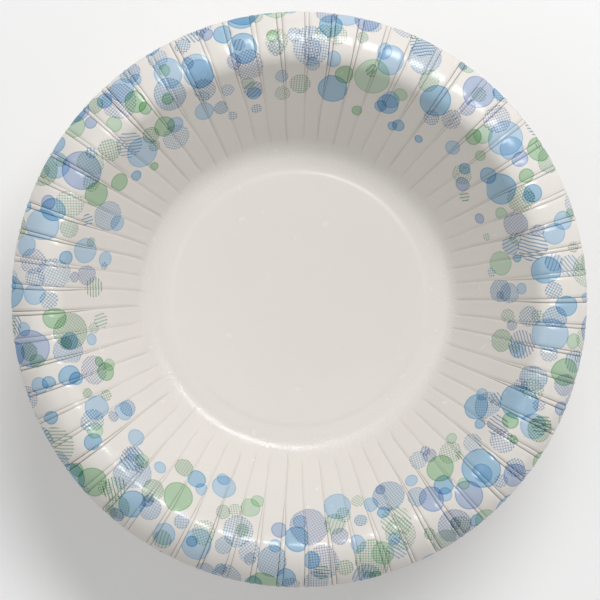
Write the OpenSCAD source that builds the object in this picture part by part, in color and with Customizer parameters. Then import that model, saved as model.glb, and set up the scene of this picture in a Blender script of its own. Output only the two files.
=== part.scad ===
/* [Bowl] */
// Diameter across the outer edge of the brim
rim_d = 188; // [165:1:230]
// Diameter of the floor, to the foot of the wall
floor_d = 94; // [70:1:106]
// Height of one bowl, from its foot to the top of its brim
bowl_h = 42; // [34:1:60]
// Width of the brim, from its crest out to its edge
brim_w = 12; // [9:0.5:18]
// Slope of the brim at its edge, in degrees below level
brim_slope = 57; // [35:1:65]
// Radius of the bend between the floor and the wall
heel_r = 11; // [8:0.5:14]
// Radius of the bend between the wall and the brim
crest_r = 6; // [4:0.5:8]
// Thickness of the board
board_t = 0.5; // [0.4:0.05:0.7]

/* [Foot] */
// Width of the flat ring that the bowl stands on
foot_ring_w = 2; // [1.5:0.5:5]
// How far the floor inside the foot ring is raised
floor_lift = 0.4; // [0.2:0.1:1]
// Width of the slope from the foot ring up to the raised floor
lift_w = 1.6; // [1:0.2:4]

/* [Pleats] */
// Number of pleats round the wall
pleats = 65; // [45:1:80]
// Width of a pleat's flat band at the edge of the brim
pleat_w = 1.6; // [1.2:0.1:2.4]
// How far the band stands proud of the board
pleat_rise = 0.2; // [0.15:0.05:0.3]
// Width of the crease that runs down the wall from each band
crease_w = 0.8; // [0.5:0.1:1]
// How far the crease stands proud of the board
crease_rise = 0.12; // [0.06:0.02:0.14]
// Slope of the heel at which the creases begin, in degrees above level
crease_start = 35; // [25:1:45]

/* [Stack] */
// Number of bowls, one inside the other
bowls = 12; // [3:1:16]
// Clearance between a bowl's pleats and the bowl above
nest_gap = 0.3; // [0.1:0.05:0.6]

/* [Hidden] */

paper_white = [0.89, 0.87, 0.84];

heel_steps = 2;
crest_steps = 4;
brim_steps = 5;
turn_fn = 180;

rim_r = rim_d / 2;
floor_r = floor_d / 2;
half_t = board_t / 2;

// Centres of the three bends, as [radius, height] of the middle of the board
crest_x = rim_r - brim_w - half_t * sin(brim_slope);
crest_z = bowl_h - half_t;
brim_r = brim_w / sin(brim_slope);
heel_at = [floor_r, half_t + heel_r];
crest_at = [crest_x, crest_z - crest_r];
brim_at = [crest_x, crest_z - brim_r];

// The wall is the straight line that touches both the heel's and the crest's circle
wall_slope = atan2(crest_at[1] - heel_at[1], crest_at[0] - heel_at[0])
    + asin((heel_r + crest_r) / norm(crest_at - heel_at));

nest_pitch = (board_t + pleat_rise + nest_gap) / cos(max(wall_slope, brim_slope));

function bowl_name(i) = str("bowl_", i < 10 ? "0" : "", i);

function reverse(points) = [for (i = [len(points) - 1:-1:0]) points[i]];

function between(a, b, share) = a + share * (b - a);

// Points round a bend, from its point number first on, as the board's slope goes from one
// value to the other. A negative radius is a bend that arches over its centre.
function bend(centre, r, from, to, steps, first = 0) =
    [for (i = [first:steps]) let (slope = from + (to - from) * i / steps)
        centre + r * [sin(slope), -cos(slope)]];

// Lines along the board's section, lifted off its middle by a distance
floor_line = function (off) [
    [0, half_t + off + floor_lift],
    [floor_r - foot_ring_w - lift_w, half_t + off + floor_lift],
    [floor_r - foot_ring_w, half_t + off]
];
heel_line = function (off) bend(heel_at, heel_r - off, 0, crease_start, heel_steps);
creased_heel_line = function (off, first = 0)
    bend(heel_at, heel_r - off, crease_start, wall_slope, heel_steps, first);
crest_line = function (off) bend(crest_at, -(crest_r + off), wall_slope, 0, crest_steps);
brim_line = function (off, first = 1) bend(brim_at, -(brim_r + off), 0, -brim_slope, brim_steps, first);

bowl_line = function (off) concat(
    floor_line(off), heel_line(off), creased_heel_line(off, 1), crest_line(off), brim_line(off));
// A crease runs up the wall and ends inside its band, which goes on over the crest to the edge.
// Each begins and ends part of the way along a straight stretch of the section.
crease_line = function (off) concat(
    [between(heel_line(off)[heel_steps], heel_line(off)[heel_steps - 1], 0.3)],
    creased_heel_line(off),
    [crest_line(off)[0], between(crest_line(off)[0], crest_line(off)[1], 0.6)]);
band_line = function (off) concat(
    [between(crest_line(off)[0], creased_heel_line(off)[heel_steps], 0.02)],
    crest_line(off), brim_line(off));
lip_line = function (off) [
    between(brim_line(off)[brim_steps - 2], brim_line(off)[brim_steps - 1], 0.1),
    brim_line(off)[brim_steps - 1]
];

// The board between two heights off its middle, turned round the axis
module turned(line, low, high, turn = 360)
    rotate_extrude(angle = turn, $fn = turn_fn) polygon(concat(line(low), reverse(line(high))));

// One ridge for each pleat, as wide as stated at a distance from the axis
module ridges(line, low, high, width, at_r) {
    turn = width / at_r * 180 / PI;
    for (i = [0:pleats - 1]) rotate(360 * i / pleats - turn / 2) turned(line, low, high, turn);
}

module pleat_bands(line, side) {
    proud = side * (half_t + pleat_rise);
    ridges(line, min(0, proud), max(0, proud), pleat_w, rim_r);
}

module pleat_creases(side) {
    proud = side * (half_t + crease_rise);
    buried = side * half_t / 2;
    ridges(crease_line, min(buried, proud), max(buried, proud), crease_w, crest_x);
}

// Every bowl is the same. A pleat shows on both faces of the board, and it is cut only where
// the stack leaves it open to view: inside the top bowl, under the lowest, and on every lip.
module bowl(i) color(paper_white) translate([0, 0, nest_pitch * (i - 1)]) {
    turned(bowl_line, -half_t, half_t);
    if (i == bowls) {
        pleat_bands(band_line, 1);
        pleat_creases(1);
    } else pleat_bands(lip_line, 1);
    if (i == 1) {
        pleat_bands(band_line, -1);
        pleat_creases(-1);
    }
}

for (i = [1:bowls])
    bowl(i);
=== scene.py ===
import math

import bpy
import numpy as np
from mathutils import Matrix, Vector


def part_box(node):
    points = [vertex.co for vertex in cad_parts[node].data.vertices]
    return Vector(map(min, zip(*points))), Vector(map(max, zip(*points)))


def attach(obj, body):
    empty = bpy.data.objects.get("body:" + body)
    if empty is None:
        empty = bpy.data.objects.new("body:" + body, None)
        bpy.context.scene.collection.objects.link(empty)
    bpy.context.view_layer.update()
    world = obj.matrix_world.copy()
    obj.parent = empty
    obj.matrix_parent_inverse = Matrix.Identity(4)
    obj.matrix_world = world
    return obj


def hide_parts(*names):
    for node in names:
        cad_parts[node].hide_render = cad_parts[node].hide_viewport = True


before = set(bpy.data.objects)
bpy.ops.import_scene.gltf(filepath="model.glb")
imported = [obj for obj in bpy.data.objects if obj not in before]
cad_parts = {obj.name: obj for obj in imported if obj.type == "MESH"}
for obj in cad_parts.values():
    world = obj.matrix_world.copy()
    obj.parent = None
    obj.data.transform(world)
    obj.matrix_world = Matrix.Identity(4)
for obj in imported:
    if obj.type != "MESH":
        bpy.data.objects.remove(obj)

scene = bpy.context.scene
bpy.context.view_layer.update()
mm = 0.001

# Sizes of one bowl, in millimetres and degrees
bowlShape = {
    "floorRadius": 48.7,
    "footRing": 3.6,
    "liftWidth": 2.6,
    "floorLift": 0.3,
    "heelBend": 8.0,
    "crestBend": 6.0,
    "brimWidth": 12.0,
    "brimSlope": 57.0,
    "board": 0.5,
    "edgeRound": 0.06,
}

# Sizes of the pleats, in millimetres and degrees. The shares say how far up the wall a band starts
# to open, how much of half a band a groove may take, and how much of the bulge the wall has.
pleatShape = {
    "count": 65,
    "bandAtEdge": 1.6,
    "creaseOnWall": 0.24,
    "opensAt": 0.35,
    "rise": 0.15,
    "wallRise": 0.045,
    "crown": 1.1,
    "groove": 0.2,
    "grooveShare": 0.62,
    "grooveDepth": 0.2,
    "wallDepth": 0.05,
    "bulge": 0.14,
    "bulgeOnWall": 0.35,
    # share of the painted crease shade that the wall keeps
    "wallShade": 0.4,
    "startSlope": 30.0,
    "startWander": 3.0,
    "fadeLength": 7.0,
    "gatherFrom": 6.0,
    "gatherTo": 1.0,
    "sway": 0.22,
    "swayTurns": 1.4,
    "lean": 0.5,
    "widthSpread": 0.22,
    "depthSpread": 0.35,
    "seed": 11,
}

# Rows of the mesh along each stretch of the section, from the axis to the edge
rowCounts = {
    "top": {"upper": (6, 6, 3, 14, 18, 11, 18), "under": (2, 1, 1, 3, 2, 3, 4)},
    "middle": {"upper": (2, 1, 1, 3, 3, 4, 9), "under": (2, 1, 1, 3, 2, 3, 4)},
    "lowest": {"upper": (2, 1, 1, 3, 3, 4, 9), "under": (5, 5, 2, 11, 13, 8, 12)},
}
panelColumns = 5
sectionPoints = 12001

# Where the two faces lie on the sheet for baking, as shares of its width
bakeSheet = {
    "facePlace": (0.35, 0.65),
    "faceRadius": 0.34,
    "backPlace": (0.79, 0.21),
    "backRadius": 0.2,
    "backShare": 0.95,
    "edgeShare": 0.975,
}


def srgb(red, green, blue):
    # a colour as seen on a screen, made linear
    seen = np.array((red, green, blue)) / 255.0
    linear = np.where(seen > 0.04045, ((seen + 0.055) / 1.055) ** 2.4, seen / 12.92)
    return (*linear.tolist(), 1.0)


# Size of the stack in millimetres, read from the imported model. Its boxes reach out to the solids'
# bands, which stand proud of the board at the edge.
lowestBox = [np.array(corner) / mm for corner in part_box("bowl_01")]
secondBox = [np.array(corner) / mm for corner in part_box("bowl_02")]
stackNames = sorted(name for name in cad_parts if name.startswith("bowl_"))
nestPitch = secondBox[0][2] - lowestBox[0][2]
bowlHeight = lowestBox[1][2] - lowestBox[0][2]
bandRise = 0.2
bandReach = bandRise * math.sin(math.radians(bowlShape["brimSlope"]))
rimRadius = (secondBox[1][0] - secondBox[0][0]) / 2 - bandReach
stackTop = (len(stackNames) - 1) * nestPitch + bowlHeight
print("frame read:", len(stackNames), "bowls,", round(nestPitch, 3), "mm apart")


def boardSection(shape):
    # The section's slope changes evenly with the length walked along it, from each knot to the
    # next. Radius and height are the running sums of the slope's cosine and sine.
    half = shape["board"] / 2
    brimSlope = math.radians(shape["brimSlope"])
    crestX = rimRadius - shape["brimWidth"] - half * math.sin(brimSlope)
    run = crestX - shape["floorRadius"]
    rise = bowlHeight - 2 * half - shape["heelBend"] - shape["crestBend"]
    bends = shape["heelBend"] + shape["crestBend"]
    reach = math.hypot(run, rise)
    wallSlope = math.atan2(rise, run) + math.asin(bends / reach)
    wallLength = math.sqrt(reach ** 2 - bends ** 2)
    brimBend = shape["brimWidth"] / math.sin(brimSlope)
    dip = -2 * shape["floorLift"] / shape["liftWidth"]
    flat = shape["floorRadius"] - shape["footRing"] - shape["liftWidth"]
    lengths = [flat, shape["liftWidth"] / 2, shape["liftWidth"] / 2, shape["footRing"],
               shape["heelBend"] * wallSlope, wallLength, shape["crestBend"] * wallSlope,
               brimBend * brimSlope]
    slopes = [0, 0, dip, 0, 0, wallSlope, wallSlope, 0, -brimSlope]
    knots = np.concatenate(([0.0], np.cumsum(lengths)))
    along = np.linspace(0, knots[-1], sectionPoints)
    slope = np.interp(along, knots, slopes)
    step = along[1] - along[0]
    radius = np.concatenate(([0.0], np.cumsum((np.cos(slope[1:]) + np.cos(slope[:-1])) / 2))) * step
    height = np.concatenate(([0.0], np.cumsum((np.sin(slope[1:]) + np.sin(slope[:-1])) / 2))) * step
    height += half - np.interp(knots[4], along, height)
    stretches = knots[[0, 1, 3, 4, 5, 6, 7, 8]]
    return {"along": along, "slope": slope, "radius": radius, "height": height, "stretches": stretches}


section = boardSection(bowlShape)
boardLength = section["along"][-1]


def rowsAlong(counts):
    # even steps along each stretch, then a last row just inside the cut edge
    parts = [np.linspace(section["stretches"][k], section["stretches"][k + 1], n, endpoint=False)
             for k, n in enumerate(counts)]
    rows = np.concatenate(parts)
    return np.concatenate((rows[1:], [boardLength - bowlShape["edgeRound"], boardLength]))


def smoothStep(low, high, value):
    t = np.clip((value - low) / (high - low), 0, 1)
    return t * t * (3 - 2 * t)


def pleatGrid(rows, seed):
    # Angles of the mesh's columns on every row, with how far each point stands off the board,
    # how far the board bulges there and how much painted shade it takes in a crease. A pleat has
    # seven columns: two grooves with a band between them. Its width opens from a single crease on
    # the wall to the full band at the edge.
    p = pleatShape
    chance = np.random.default_rng(seed)
    count = p["count"]
    spread = chance.uniform(-1, 1, (6, count))
    knots = section["stretches"]
    slopeAt = np.interp(rows, section["along"], section["slope"])
    radius = np.interp(rows, section["along"], section["radius"])
    start = knots[3] + bowlShape["heelBend"] * math.radians(p["startSlope"])
    wallShare = smoothStep(knots[4] + p["opensAt"] * (knots[5] - knots[4]), boardLength, rows)[:, None]
    strength = smoothStep(0, p["fadeLength"], rows[:, None] - start - p["startWander"] * spread[0])
    opening = (1 + p["widthSpread"] * spread[1])[None, :]
    depth = (1 + p["depthSpread"] * spread[2])[None, :]
    halfBand = (p["creaseOnWall"] / 2 + (p["bandAtEdge"] - p["creaseOnWall"]) / 2 * wallShare) * opening
    groove = np.minimum(p["groove"], p["grooveShare"] * halfBand)
    progress = (rows[:, None] - start) / (boardLength - start)
    sway = p["sway"] * spread[3] * np.sin(math.tau * (p["swayTurns"] * progress + spread[4]))
    lean = p["lean"] * spread[5] * (1 - np.clip(progress, 0, 1))
    middle = (sway + lean) * strength

    grooveDepth = (p["wallDepth"] + (p["grooveDepth"] - p["wallDepth"]) * wallShare) * depth * strength
    bandHeight = (p["wallRise"] + (p["rise"] - p["wallRise"]) * wallShare) * strength
    arch = p["bulge"] * (p["bulgeOnWall"] + (1 - p["bulgeOnWall"]) * wallShare) * strength
    # painted shade: how much each crease darkens the colour
    shaded = strength * depth * (p["wallShade"] + (1 - p["wallShade"]) * wallShare)
    zero = np.zeros_like(halfBand)
    sideways = [-halfBand - groove, -halfBand, -halfBand + groove, zero,
                halfBand - groove, halfBand, halfBand + groove]
    relief = [zero, -grooveDepth, bandHeight, bandHeight * p["crown"], bandHeight, -grooveDepth, zero]
    crease = [zero, shaded, zero, zero, zero, shaded, zero]
    bulge = [zero] * len(sideways)
    perPleat = len(sideways) + panelColumns

    pitch = math.tau / count
    centre = pitch * np.arange(count)[None, :]
    safeRadius = np.maximum(radius, 1.0)[:, None]
    angle = [centre + (middle + side) / safeRadius for side in sideways]
    lastRight = angle[-1]
    nextLeft = np.roll(angle[0], -1, axis=1)
    nextLeft[:, -1] += math.tau
    nextArch = (arch + np.roll(arch, -1, axis=1)) / 2
    for k in range(1, panelColumns + 1):
        share = k / (panelColumns + 1)
        angle.append(lastRight + (nextLeft - lastRight) * share)
        bulge.append(nextArch * math.sin(math.pi * share))
        relief.append(zero)
        crease.append(zero)

    # on the floor the columns stand evenly, from a quarter of a pitch before each pleat's middle
    even = centre[:, :, None] + pitch * (np.arange(perPleat) / perPleat - 0.25)[None, None, :]
    blend = smoothStep(start - p["gatherFrom"], start - p["gatherTo"], rows)[:, None, None]
    angles = even * (1 - blend) + np.stack(angle, axis=2) * blend
    grid = {"radius": radius, "slope": slopeAt, "perPleat": perPleat}
    for label, values in (("angle", angles), ("relief", np.stack(relief, axis=2)),
                          ("bulge", np.stack(bulge, axis=2)), ("crease", np.stack(crease, axis=2))):
        grid[label] = values.reshape(len(rows), -1)
    return grid


def boardFace(rows, grid, side, lift):
    # The section's point at each row, moved along the board's normal by the bulge, and outwards
    # from there by half the board and the relief, turned to the column's angle
    height = np.interp(rows, section["along"], section["height"])[:, None]
    off = grid["bulge"] + side * (bowlShape["board"] / 2 + grid["relief"])
    slope = grid["slope"][:, None]
    radius = grid["radius"][:, None] - np.sin(slope) * off
    up = height + np.cos(slope) * off + lift
    return np.stack((radius * np.cos(grid["angle"]), radius * np.sin(grid["angle"]), up), axis=2)


def quadCorners(rowsCount, columns):
    # vertex numbers of each cell's four corners, with the last column joined to the first
    i = np.arange(rowsCount - 1)[:, None]
    j = np.arange(columns)[None, :]
    nextColumn = (j + 1) % columns
    a, b = i * columns + j, (i + 1) * columns + j
    c, d = (i + 1) * columns + nextColumn, i * columns + nextColumn
    return np.stack((a, b, c, d), axis=2).reshape(-1, 4)


def flatBlank(rows, grid, turn):
    # Where each cell's corners lie on the print's sheet. A panel's width there is its width here,
    # and the rest is folded away inside the pleats. The distance from the middle lies between the
    # length along the board and the radius, so that a dot comes out rounder once pressed. Of a
    # pleat's cells the first belongs to the panel before it, four to its band, the rest to the
    # panel after it, and each turns with the middle of its panel or band.
    count, perPleat = pleatShape["count"], grid["perPleat"]
    pitch = math.tau / count
    cell = np.arange(count * perPleat)
    inPleat = cell % perPleat
    centre = (cell // perPleat) * pitch
    after = np.where(inPleat < 5, centre, centre + pitch / 2)
    centre = np.where(inPleat < 1, centre - pitch / 2, after)
    rows = rows - printShape["rounder"] * (rows - grid["radius"])
    share = (grid["radius"] / rows)[:, None]
    left = grid["angle"]
    right = np.roll(left, -1, axis=1)
    right[:, -1] += math.tau

    def placed(angle, rowShare):
        return centre[None, :] + (angle - centre[None, :]) * rowShare + turn

    a = (rows[:-1, None], placed(left[:-1], share[:-1]))
    b = (rows[1:, None], placed(left[1:], share[1:]))
    c = (rows[1:, None], placed(right[1:], share[1:]))
    d = (rows[:-1, None], placed(right[:-1], share[:-1]))
    places = [np.stack((away * np.cos(turned), away * np.sin(turned)), axis=2)
              for away, turned in (a, b, c, d)]
    return np.stack(places, axis=2).reshape(-1, 4, 2)


def writeAttribute(mesh, label, upperValue, underValue):
    # one value to a point: the edge between the two faces and the two middles have none
    edge = np.zeros(upperValue.shape[1])
    value = np.concatenate((upperValue.ravel(), edge, underValue.ravel(), [0, 0]))
    mesh.attributes.new(label, "FLOAT", "POINT").data.foreach_set("value", value.astype(np.float32))


def writeUv(mesh, label, places):
    mesh.uv_layers.new(name=label).data.foreach_set("uv", places.astype(np.float32).ravel())


def onBakeSheet(blankMap, isUpper, edgeSide):
    # Two discs side by side: a large one for the printed face, a small one for the back. The cut
    # edge is the small one's outer ring, between the back and the radius of the whole blank.
    b = bakeSheet
    blankRadius = np.linalg.norm(blankMap, axis=1)
    share = np.choose(edgeSide, (b["backShare"], b["edgeShare"], 1.0))
    reach = blankRadius * np.where(isUpper, 1.0, share)
    direction = blankMap / np.maximum(blankRadius, 1e-9)[:, None]
    scale = np.where(isUpper, b["faceRadius"], b["backRadius"]) / blankRadius.max()
    place = np.where(isUpper[:, None], [b["facePlace"]], [b["backPlace"]])
    return place + direction * (reach * scale)[:, None]


def makeBowl(name, kind, level):
    # One closed sheet: the upper face from the axis to the edge, one row round the edge, and the
    # under face back to the axis, closed by a fan of triangles at the middle of each face
    counts = rowCounts[kind]
    upperRows, underRows = rowsAlong(counts["upper"]), rowsAlong(counts["under"])[::-1]
    seed = pleatShape["seed"] + level
    upperGrid, underGrid = pleatGrid(upperRows, seed), pleatGrid(underRows, seed)
    lift = level * nestPitch
    upper = boardFace(upperRows, upperGrid, 1, lift)
    under = boardFace(underRows, underGrid, -1, lift)
    edge = (upper[-1:] + under[:1]) / 2
    columns = upper.shape[1]
    middleTop = np.array([[0, 0, lift + section["height"][0] + bowlShape["board"] / 2]])
    middleUnder = middleTop - [[0, 0, bowlShape["board"]]]
    faces = [part.reshape(-1, 3) for part in (upper, edge, under)]
    points = np.concatenate(faces + [middleTop, middleUnder])
    total = len(upperRows) + 1 + len(underRows)
    quads = quadCorners(total, columns)
    ring = np.arange(columns)
    nextRing = (ring + 1) % columns
    topCentre, underCentre = len(points) - 2, len(points) - 1
    lastRow = (total - 1) * columns
    topFan = np.stack((np.full(columns, topCentre), ring, nextRing), axis=1)
    underFan = np.stack((np.full(columns, underCentre), lastRow + nextRing, lastRow + ring), axis=1)

    mesh = bpy.data.meshes.new(name)
    corners = np.concatenate((quads.ravel(), topFan.ravel(), underFan.ravel())).astype(np.int32)
    sizes = np.concatenate((np.full(len(quads), 4), np.full(2 * columns, 3))).astype(np.int32)
    starts = np.concatenate(([0], np.cumsum(sizes)[:-1])).astype(np.int32)
    mesh.vertices.add(len(points))
    mesh.vertices.foreach_set("co", (points * mm).astype(np.float32).ravel())
    mesh.loops.add(len(corners))
    mesh.loops.foreach_set("vertex_index", corners)
    mesh.polygons.add(len(sizes))
    mesh.polygons.foreach_set("loop_start", starts)

    # which finish each face takes: 0 the printed face, 1 the plain back, 2 the cut edge
    rowFinish = np.ones(total - 1, dtype=np.int32)
    rowFinish[:len(upperRows) - 1] = 0
    rowFinish[len(upperRows) - 1:len(upperRows) + 1] = 2
    finish = np.concatenate((np.repeat(rowFinish, columns), np.zeros(columns), np.ones(columns)))
    mesh.update(calc_edges=True)
    mesh.polygons.foreach_set("material_index", finish.astype(np.int32))
    mesh.shade_smooth()

    # the heel's mask rises along the foot ring and falls off at the foot of the wall
    ringStart, heelStart, heelEnd = section["stretches"][[2, 3, 4]]
    fadeFrom, fadeTo = heelEnd - paperGrain["fadeBelow"], heelEnd + paperGrain["fadeAbove"]
    pressed = [smoothStep(ringStart, heelStart, rows) * (1 - smoothStep(fadeFrom, fadeTo, rows))
               for rows in (upperRows, underRows)]
    # the crease attribute carries the painted shade of each crease to the colour
    writeAttribute(mesh, "crease", upperGrid["crease"], underGrid["crease"])
    writeAttribute(mesh, "heel", *(np.repeat(mask[:, None], columns, axis=1) for mask in pressed))

    # each bowl's blank is turned by the golden angle, so that no two prints line up
    turn = level * printShape["turnPerBowl"]
    allRows = np.concatenate((upperRows, [boardLength], underRows))
    allGrid = {key: np.concatenate((upperGrid[key], upperGrid[key][-1:], underGrid[key]))
               for key in ("radius", "angle")}
    allGrid["perPleat"] = upperGrid["perPleat"]
    blank = flatBlank(allRows, allGrid, turn)
    around = np.concatenate((allGrid["angle"][0], [allGrid["angle"][0, 0] + math.tau])) + turn
    fan = np.zeros((columns, 3, 2))
    fan[:, 1] = upperRows[0] * np.stack((np.cos(around[:-1]), np.sin(around[:-1])), axis=1)
    fan[:, 2] = upperRows[0] * np.stack((np.cos(around[1:]), np.sin(around[1:])), axis=1)
    backFan = fan[:, [0, 2, 1]] * underRows[-1] / upperRows[0]
    blankMap = np.concatenate([part.reshape(-1, 2) for part in (blank, fan, backFan)]) * mm
    writeUv(mesh, "flatBlank", blankMap)

    isUpper = np.repeat(finish == 0, sizes)
    rowOfCorner = corners // columns
    edgeSide = 1 + np.sign(len(upperRows) - rowOfCorner)
    writeUv(mesh, "OFBake", onBakeSheet(blankMap, isUpper, edgeSide))
    mesh.validate()

    bowl = bpy.data.objects.new(name, mesh)
    scene.collection.objects.link(bowl)
    return bowl


def addNode(tree, kind, place, **values):
    node = tree.nodes.new(kind)
    node.location = place
    for key, value in values.items():
        setattr(node, key, value)
    return node


def feed(tree, socket, value):
    # a socket takes a link from another one, or a value of its own
    if isinstance(value, bpy.types.NodeSocket):
        tree.links.new(value, socket)
    elif value is not None:
        socket.default_value = value


def mathNode(tree, operation, first, second=None, third=None, clamp=False):
    node = addNode(tree, "ShaderNodeMath", (0, 0), operation=operation, use_clamp=clamp)
    for socket, value in zip(node.inputs, (first, second, third)):
        feed(tree, socket, value)
    return node.outputs[0]


def vectorNode(tree, operation, first, second=None, scale=None, output=0):
    node = addNode(tree, "ShaderNodeVectorMath", (0, 0), operation=operation)
    for place, value in ((0, first), (1, second), (3, scale)):
        feed(tree, node.inputs[place], value)
    return node.outputs[output]


def mixNode(tree, blend, factor, first, second):
    node = addNode(tree, "ShaderNodeMix", (0, 0), data_type="RGBA", blend_type=blend)
    for place, value in ((0, factor), (6, first), (7, second)):
        feed(tree, node.inputs[place], value)
    return node.outputs[2]


def newGroup(name, inputs, outputs):
    tree = bpy.data.node_groups.new(name, "ShaderNodeTree")
    for label, kind, value in inputs:
        socket = tree.interface.new_socket(label, in_out="INPUT", socket_type=kind)
        if value is not None:
            socket.default_value = value
    for label, kind in outputs:
        tree.interface.new_socket(label, in_out="OUTPUT", socket_type=kind)
    return tree, addNode(tree, "NodeGroupInput", (-900, 0)), addNode(tree, "NodeGroupOutput", (900, 0))


# Inks of the dots, as a dot looks on white board, with the share of dots that take each
dotInks = {
    "paleBlue": ((202, 226, 244), 0.22),
    "skyBlue": ((178, 213, 236), 0.25),
    "periwinkle": ((196, 210, 234), 0.17),
    "leafGreen": ((192, 222, 190), 0.19),
    "paleGreen": ((213, 234, 212), 0.17),
}

# Layers of dots, in millimetres: the cell that holds one dot, the largest radius, the share of
# cells that hold one, and where the layer starts on the blank
dotLayers = {
    "large": {"cell": 18.5, "radius": 7.3, "keep": 0.95, "shift": (3.0, 11.0)},
    "broad": {"cell": 16.0, "radius": 5.8, "keep": 0.88, "shift": (47.0, 29.0)},
    "middling": {"cell": 13.0, "radius": 4.4, "keep": 0.82, "shift": (91.0, 64.0)},
    "small": {"cell": 10.5, "radius": 3.0, "keep": 0.72, "shift": (33.0, 131.0)},
}

# The print, in millimetres on the blank and radians. Ink is a power of the dot's colour, a line's width is a
# share of its pitch, and what lies above or below a bound is said of a number between 0 and 1
# that the cell draws.
printShape = {
    "turnPerBowl": 2.39996,
    "rounder": 0.5,
    "innerBorder": 68.5,
    "scatter": 0.55,
    "smallest": 0.64,
    "sizeAtBorder": 0.66,
    "grownBy": 17.0,
    "angleDigits": 53.0,
    "fillDigits": 71.0,
    "dotEdge": 0.14,
    "inkRim": 0.55,
    "rimInk": 1.2,
    "linedInk": 0.5,
    "hatchAbove": 0.62,
    "hatchPitch": 0.86,
    "hatchLine": 0.24,
    "stripeBelow": 0.12,
    "stripePitch": 1.15,
    "stripeLine": 0.36,
    "lineSharpness": 3.0,
    "waver": 0.04,
    "waverTurns": 1.7,
    "groundAbove": 0.6,
    "groundInk": 0.3,
    "leastInk": 0.05,
    "greyOfLines": 0.25,
    "lineGrey": (182, 188, 198),
}


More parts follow.
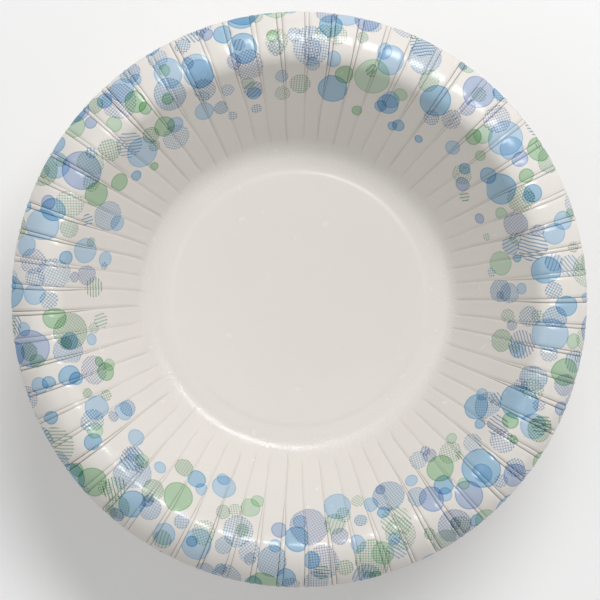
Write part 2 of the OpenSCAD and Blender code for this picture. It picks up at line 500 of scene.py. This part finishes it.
def makeDotLayer():
    # One dot to a cell: its centre is the cell's own point, its radius, ink, fill and angle are
    # drawn by the cell. It prints only if the whole dot clears the border round the floor.
    tree, given, made = newGroup("dotLayer", (
        ("Blank", "NodeSocketVector", None),
        ("Cell", "NodeSocketFloat", 12.0),
        ("Radius", "NodeSocketFloat", 3.0),
        ("Keep", "NodeSocketFloat", 0.7),
        ("Shift", "NodeSocketVector", None),
    ), (("Color", "NodeSocketColor"), ("Ink", "NodeSocketFloat")))
    p, given = printShape, given.outputs

    def calc(operation, *values, clamp=False):
        return mathNode(tree, operation, *values, clamp=clamp)

    moved = vectorNode(tree, "ADD", given["Blank"], given["Shift"])
    cells = addNode(tree, "ShaderNodeTexVoronoi", (-600, 0), voronoi_dimensions="2D", feature="F1")
    feed(tree, cells.inputs["Randomness"], p["scatter"])
    feed(tree, cells.inputs["Vector"], moved)
    feed(tree, cells.inputs["Scale"], calc("DIVIDE", 1.0, given["Cell"]))
    centre = cells.outputs["Position"]
    away = vectorNode(tree, "SUBTRACT", moved, centre)
    distance = vectorNode(tree, "LENGTH", away, output=1)
    fromMiddle = vectorNode(tree, "SUBTRACT", centre, given["Shift"])
    onBlank = vectorNode(tree, "LENGTH", fromMiddle, output=1)
    drawn = addNode(tree, "ShaderNodeSeparateColor", (-300, 0))
    feed(tree, drawn.inputs[0], cells.outputs["Color"])
    forSize, forKeep, forInk = drawn.outputs[0], drawn.outputs[1], drawn.outputs[2]
    # the digits further down two of the cell's three numbers give two more
    forAngle = calc("FRACT", calc("MULTIPLY", forSize, p["angleDigits"]))
    forFill = calc("FRACT", calc("MULTIPLY", forKeep, p["fillDigits"]))

    # radius: the layer's largest, times the drawn share, times the growth away from the border
    size = calc("MULTIPLY_ADD", forSize, 1 - p["smallest"], p["smallest"])
    out = calc("DIVIDE", calc("SUBTRACT", onBlank, p["innerBorder"]), p["grownBy"], clamp=True)
    grown = calc("MULTIPLY_ADD", out, 1 - p["sizeAtBorder"], p["sizeAtBorder"])
    radius = calc("MULTIPLY", calc("MULTIPLY", given["Radius"], size), grown)
    inside = calc("SUBTRACT", radius, distance)
    disc = calc("DIVIDE", inside, p["dotEdge"], clamp=True)
    rim = calc("SUBTRACT", 1.0, calc("DIVIDE", inside, p["inkRim"], clamp=True))
    kept = calc("LESS_THAN", forKeep, given["Keep"])
    clears = calc("GREATER_THAN", calc("SUBTRACT", onBlank, radius), p["innerBorder"])

    # hatch: two sets of lines across the dot, turned by the cell's own angle; stripe: one set.
    # The lines waver a little, as drawn ones do.
    rotate = addNode(tree, "ShaderNodeVectorRotate", (0, 400), rotation_type="Z_AXIS")
    feed(tree, rotate.inputs["Vector"], away)
    feed(tree, rotate.inputs["Angle"], calc("MULTIPLY", forAngle, math.pi))
    across = addNode(tree, "ShaderNodeSeparateXYZ", (150, 400))
    feed(tree, across.inputs[0], rotate.outputs[0])
    drift = calc("SINE", calc("MULTIPLY", across.outputs[1], p["waverTurns"]))
    wavering = calc("ADD", across.outputs[0], calc("MULTIPLY", drift, p["waver"]))

    def lines(coordinate, pitch, lineShare):
        # a sine across the lines, cut off where it has the line's share of the pitch above it
        wave = calc("SINE", calc("MULTIPLY", coordinate, math.tau / pitch))
        level = 0.5 - p["lineSharpness"] * math.cos(math.pi * lineShare)
        return calc("MULTIPLY_ADD", wave, p["lineSharpness"], level, clamp=True)

    hatch = calc("MAXIMUM", lines(wavering, p["hatchPitch"], p["hatchLine"]),
                 lines(across.outputs[1], p["hatchPitch"], p["hatchLine"]))
    stripe = lines(wavering, p["stripePitch"], p["stripeLine"])
    isHatch = calc("GREATER_THAN", forFill, p["hatchAbove"])
    isStripe = calc("LESS_THAN", forFill, p["stripeBelow"])
    lined = calc("ADD", isHatch, isStripe)
    hatchGap = calc("MULTIPLY", isHatch, calc("SUBTRACT", 1.0, hatch))
    stripeGap = calc("MULTIPLY", isStripe, calc("SUBTRACT", 1.0, stripe))
    fill = calc("SUBTRACT", 1.0, calc("ADD", hatchGap, stripeGap), clamp=True)
    # between its lines a lined dot keeps a trace of its ink, and some keep a pale ground of it
    ground = calc("MULTIPLY", calc("GREATER_THAN", forAngle, p["groundAbove"]), p["groundInk"])
    fill = calc("MAXIMUM", fill, calc("ADD", ground, p["leastInk"]))
    mask = calc("MULTIPLY", calc("MULTIPLY", disc, fill), calc("MULTIPLY", kept, clears))

    ramp = addNode(tree, "ShaderNodeValToRGB", (300, 200))
    ramp.color_ramp.interpolation = "CONSTANT"
    stops = ramp.color_ramp.elements
    reached = 0.0
    for k, (tint, share) in enumerate(dotInks.values()):
        stop = stops[k] if k < 2 else stops.new(reached)
        stop.position = reached
        stop.color = srgb(*tint)
        reached += share
    feed(tree, ramp.inputs[0], forInk)
    # lined dots and the rim of a plain one take more ink, and thin lines look greyer
    greyShare = calc("MULTIPLY", lined, p["greyOfLines"])
    heavier = calc("MULTIPLY_ADD", lined, p["linedInk"], 1.0)
    heavier = calc("MULTIPLY_ADD", rim, p["rimInk"], heavier)
    deep = addNode(tree, "ShaderNodeGamma", (450, 200))
    feed(tree, deep.inputs["Color"], mixNode(tree, "MIX", greyShare, ramp.outputs[0], srgb(*p["lineGrey"])))
    feed(tree, deep.inputs["Gamma"], heavier)
    feed(tree, made.inputs["Color"], mixNode(tree, "MIX", mask, (1, 1, 1, 1), deep.outputs[0]))
    feed(tree, made.inputs["Ink"], mask)
    return tree


# Grain of the board. Scales are waves to the metre, and heights are shares of the bump's depth.
# The wrinkles are laid out on a circle of the heel's radius and fade from below the heel's end to
# above it, in millimetres.
paperGrain = {
    "cloudScale": 38.0,
    "fibreScale": 1500.0,
    "crumpleScale": 210.0,
    "wrinkleScale": 1400.0,
    "crumpleHeight": 0.7,
    "fibreHeight": 0.3,
    "wrinkleHeight": 6.5,
    "heelRadius": 52.0,
    "outwards": 0.75,
    "fadeBelow": 1.0,
    "fadeAbove": 3.0,
}


def makePaperTone():
    # Board that is never quite even: a broad cloud of tone and fine fibres, and a height of
    # crumples and fibres, with short wrinkles added where the heel is pressed
    tree, given, made = newGroup("paperTone", (
        ("Color", "NodeSocketColor", (0.8, 0.8, 0.8, 1)),
        ("Cloud", "NodeSocketFloat", 0.03),
        ("Fibre", "NodeSocketFloat", 0.03),
        ("Pressed", "NodeSocketFloat", 0.0),
    ), (("Color", "NodeSocketColor"), ("Height", "NodeSocketFloat"), ("Gloss", "NodeSocketFloat")))
    g, given = paperGrain, given.outputs
    place = addNode(tree, "ShaderNodeTexCoord", (-900, -200)).outputs["Object"]

    def calc(operation, *values):
        return mathNode(tree, operation, *values)

    def noise(scale, detail, vector=place):
        node = addNode(tree, "ShaderNodeTexNoise", (-600, 0))
        for label, value in (("Scale", scale), ("Detail", detail), ("Vector", vector)):
            feed(tree, node.inputs[label], value)
        return node.outputs["Fac"]

    # the wrinkles lie in the way round the heel and the distance from the axis
    split = addNode(tree, "ShaderNodeSeparateXYZ", (-900, -500))
    feed(tree, split.inputs[0], place)
    turned = calc("ARCTAN2", split.outputs[1], split.outputs[0])
    fromAxis = vectorNode(tree, "LENGTH", vectorNode(tree, "MULTIPLY", place, (1, 1, 0)), output=1)
    polar = addNode(tree, "ShaderNodeCombineXYZ", (-700, -500))
    feed(tree, polar.inputs[0], calc("MULTIPLY", turned, g["heelRadius"] * mm))
    feed(tree, polar.inputs[1], calc("MULTIPLY", fromAxis, g["outwards"]))

    cloud, fibre = noise(g["cloudScale"], 2), noise(g["fibreScale"], 3)
    crumple, wrinkle = noise(g["crumpleScale"], 3), noise(g["wrinkleScale"], 3, polar.outputs[0])
    shade = calc("MULTIPLY", calc("SUBTRACT", cloud, 0.5), given["Cloud"])
    grain = calc("MULTIPLY", calc("SUBTRACT", fibre, 0.5), given["Fibre"])
    factor = calc("ADD", calc("ADD", shade, grain), 1.0)
    feed(tree, made.inputs["Color"], vectorNode(tree, "SCALE", given["Color"], scale=factor))
    fibreHeight = calc("MULTIPLY", fibre, g["fibreHeight"])
    height = calc("MULTIPLY_ADD", crumple, g["crumpleHeight"], fibreHeight)
    pressedIn = calc("MULTIPLY", given["Pressed"], g["wrinkleHeight"])
    feed(tree, made.inputs["Height"], calc("MULTIPLY_ADD", wrinkle, pressedIn, height))
    feed(tree, made.inputs["Gloss"], calc("SUBTRACT", crumple, 0.5))
    return tree


dotLayer = makeDotLayer()
paperTone = makePaperTone()

# The board's three surfaces: colour, roughness, how much the cloud and the fibres change the
# tone, depth of the bump in millimetres, and how much of the painted crease shade they take
boardFinish = {
    "printedBoard": {"color": srgb(231, 226, 220), "roughness": 0.22, "cloud": 0.035, "fibre": 0.03,
                     "bump": 0.024, "creased": 0.9, "printed": True},
    "boardBack": {"color": srgb(226, 221, 213), "roughness": 0.72, "cloud": 0.05, "fibre": 0.08,
                  "bump": 0.048, "creased": 0.4, "printed": False},
    "boardEdge": {"color": srgb(222, 215, 204), "roughness": 0.85, "cloud": 0.05, "fibre": 0.14,
                  "bump": 0.08, "creased": 0.4, "printed": False},
}
boardLook = {
    "glossSpread": 0.25,
    "inkGround": (1.0, 1.04, 1.1),
    # painted shade in the creases: the power and the tint that darken the colour there
    "creaseShadeGamma": 1.7,
    "creaseShadeTint": srgb(150, 138, 128),
}


def printedColor(tree, color):
    # the board's colour, multiplied by each layer's dots
    blank = addNode(tree, "ShaderNodeUVMap", (-900, 300), uv_map="flatBlank")
    inMillimetres = vectorNode(tree, "SCALE", blank.outputs[0], scale=1 / mm)
    inked = None
    for k, (label, layer) in enumerate(dotLayers.items()):
        dots = addNode(tree, "ShaderNodeGroup", (-600, 300 + 250 * k), node_tree=dotLayer, label=label)
        for socket, value in (("Cell", layer["cell"]), ("Radius", layer["radius"]), ("Keep", layer["keep"]),
                              ("Shift", (*layer["shift"], 0)), ("Blank", inMillimetres)):
            feed(tree, dots.inputs[socket], value)
        color = mixNode(tree, "MULTIPLY", 1.0, color, dots.outputs["Color"])
        ink = dots.outputs["Ink"]
        inked = ink if inked is None else mathNode(tree, "MAXIMUM", inked, ink)
    # the inks hold some white, so the board's warmth doesn't show through them
    cooler = vectorNode(tree, "MULTIPLY", color, boardLook["inkGround"])
    return mixNode(tree, "MIX", inked, color, cooler)


def boardMaterial(name, look):
    material = bpy.data.materials.new(name)
    material.use_nodes = True
    tree = material.node_tree
    tree.nodes.clear()
    output = addNode(tree, "ShaderNodeOutputMaterial", (900, 0))
    shader = addNode(tree, "ShaderNodeBsdfPrincipled", (600, 0))
    feed(tree, output.inputs[0], shader.outputs[0])
    heel = addNode(tree, "ShaderNodeAttribute", (-600, -200), attribute_name="heel")
    tone = addNode(tree, "ShaderNodeGroup", (-300, 0), node_tree=paperTone)
    for socket, value in (("Color", look["color"]), ("Cloud", look["cloud"]), ("Fibre", look["fibre"]),
                          ("Pressed", heel.outputs["Fac"])):
        feed(tree, tone.inputs[socket], value)
    color = tone.outputs["Color"]
    if look["printed"]:
        color = printedColor(tree, color)

    # a crease takes painted shade, as its groove would hold shade, and also shows broken coating, so it is
    # darker than the board round it
    folded = addNode(tree, "ShaderNodeAttribute", (-300, -300), attribute_name="crease")
    shade = mathNode(tree, "MULTIPLY", folded.outputs["Fac"], look["creased"], clamp=True)
    darker = addNode(tree, "ShaderNodeGamma", (150, -100))
    feed(tree, darker.inputs["Color"], color)
    feed(tree, darker.inputs["Gamma"], boardLook["creaseShadeGamma"])
    inCreaseShade = mixNode(tree, "MULTIPLY", 1.0, darker.outputs[0], boardLook["creaseShadeTint"])
    feed(tree, shader.inputs["Base Color"], mixNode(tree, "MIX", shade, color, inCreaseShade))

    roughness = mathNode(tree, "MULTIPLY_ADD", tone.outputs["Gloss"], boardLook["glossSpread"],
                         look["roughness"])
    feed(tree, shader.inputs["Roughness"], roughness)
    bump = addNode(tree, "ShaderNodeBump", (300, -300))
    feed(tree, bump.inputs["Distance"], look["bump"] * mm)
    feed(tree, bump.inputs["Height"], tone.outputs["Height"])
    feed(tree, shader.inputs["Normal"], bump.outputs[0])
    return material


finishes = [boardMaterial(name, look) for name, look in boardFinish.items()]
print("materials made")

for level, node in enumerate(stackNames):
    kind = "top" if level == len(stackNames) - 1 else "lowest" if level == 0 else "middle"
    bowl = makeBowl("paper_" + node, kind, level)
    for material in finishes:
        bowl.data.materials.append(material)
    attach(bowl, "root")
    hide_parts(node)
print("bowls made:", len(stackNames))


# Camera, floor and world, in metres and degrees, and the sensor in millimetres. The camera looks
# down, tilted a little towards one side, at the height of the top brim's widest edge.
viewing = {
    "tilt": 1.2,
    "towards": 143.0,
    "distance": 0.6,
    "fillsFrame": 0.96,
    "sensorWidth": 36.0,
    "clip": (0.01, 20.0),
    "edgeBelowTop": 0.006,
    "lampsAim": (0.0, 0.0, 0.03),
    "floorHalf": 3.0,
    "floorTone": 0.86,
    "floorRoughness": 0.9,
    "floorGlow": 0.1,
    "worldLevel": 0.345,
}

# The key gives the glint on the near heel, the fill lights the right wall, and the window and the
# side lamp light the far and the right brim
lamps = {
    "key": {"place": (0.29, 0.69, 1.07), "size": (0.9, 0.32), "power": 9.0},
    "fill": {"place": (-0.75, -0.05, 1.3), "size": (1.2, 1.2), "power": 3.0},
    "window": {"place": (0.6, 1.02, 0.55), "size": (1.6, 0.6), "power": 1.5},
    "side": {"place": (1.2, -0.45, 0.5), "size": (1.2, 0.6), "power": 1.3},
}


def makeCamera():
    camera = bpy.data.objects.new("camera", bpy.data.cameras.new("camera"))
    scene.collection.objects.link(camera)
    scene.camera = camera
    tilt, towards = math.radians(viewing["tilt"]), math.radians(viewing["towards"])
    back = Vector((math.sin(tilt) * math.cos(towards), math.sin(tilt) * math.sin(towards), math.cos(tilt)))
    right = Vector((0, 1, 0)).cross(back).normalized()
    aim = Vector((0, 0, stackTop * mm - viewing["edgeBelowTop"]))
    camera.location = aim + back * viewing["distance"]
    camera.rotation_mode = "QUATERNION"
    camera.rotation_quaternion = Matrix((right, back.cross(right), back)).transposed().to_quaternion()
    halfWidth = rimRadius * mm / viewing["fillsFrame"]
    camera.data.sensor_width = viewing["sensorWidth"]
    camera.data.lens = viewing["sensorWidth"] / 2 * viewing["distance"] / halfWidth
    camera.data.clip_start, camera.data.clip_end = viewing["clip"]


def makeLamp(name, shape):
    data = bpy.data.lights.new(name, "AREA")
    data.shape = "ELLIPSE"
    data.size, data.size_y = shape["size"]
    data.energy = shape["power"]
    lamp = bpy.data.objects.new(name, data)
    scene.collection.objects.link(lamp)
    lamp.location = shape["place"]
    lamp.rotation_mode = "QUATERNION"
    aim = Vector(viewing["lampsAim"]) - Vector(shape["place"])
    lamp.rotation_quaternion = aim.to_track_quat("-Z", "Y")


def makeFloor():
    mesh = bpy.data.meshes.new("floor")
    half = viewing["floorHalf"]
    mesh.from_pydata([(-half, -half, 0), (half, -half, 0), (half, half, 0), (-half, half, 0)],
                     [], [(0, 1, 2, 3)])
    floor = bpy.data.objects.new("floor", mesh)
    scene.collection.objects.link(floor)
    material = bpy.data.materials.new("paleFloor")
    material.use_nodes = True
    tree = material.node_tree
    shader = tree.nodes["Principled BSDF"]
    shader.inputs["Base Color"].default_value = (*[viewing["floorTone"]] * 3, 1)
    shader.inputs["Roughness"].default_value = viewing["floorRoughness"]
    # the backdrop reads as white to the camera without throwing more light on the bowls
    rays = addNode(tree, "ShaderNodeLightPath", (-400, -200))
    glow = mathNode(tree, "MULTIPLY", rays.outputs["Is Camera Ray"], viewing["floorGlow"])
    shader.inputs["Emission Color"].default_value = (1, 1, 1, 1)
    feed(tree, shader.inputs["Emission Strength"], glow)
    mesh.materials.append(material)


def makeWorld():
    world = bpy.data.worlds.new("world")
    scene.world = world
    world.use_nodes = True
    background = world.node_tree.nodes["Background"]
    background.inputs["Color"].default_value = (1, 1, 1, 1)
    background.inputs["Strength"].default_value = viewing["worldLevel"]


makeCamera()
for name, shape in lamps.items():
    makeLamp(name, shape)
makeFloor()
makeWorld()
scene.view_settings.view_transform = "Standard"
print("camera, lamps and floor made")
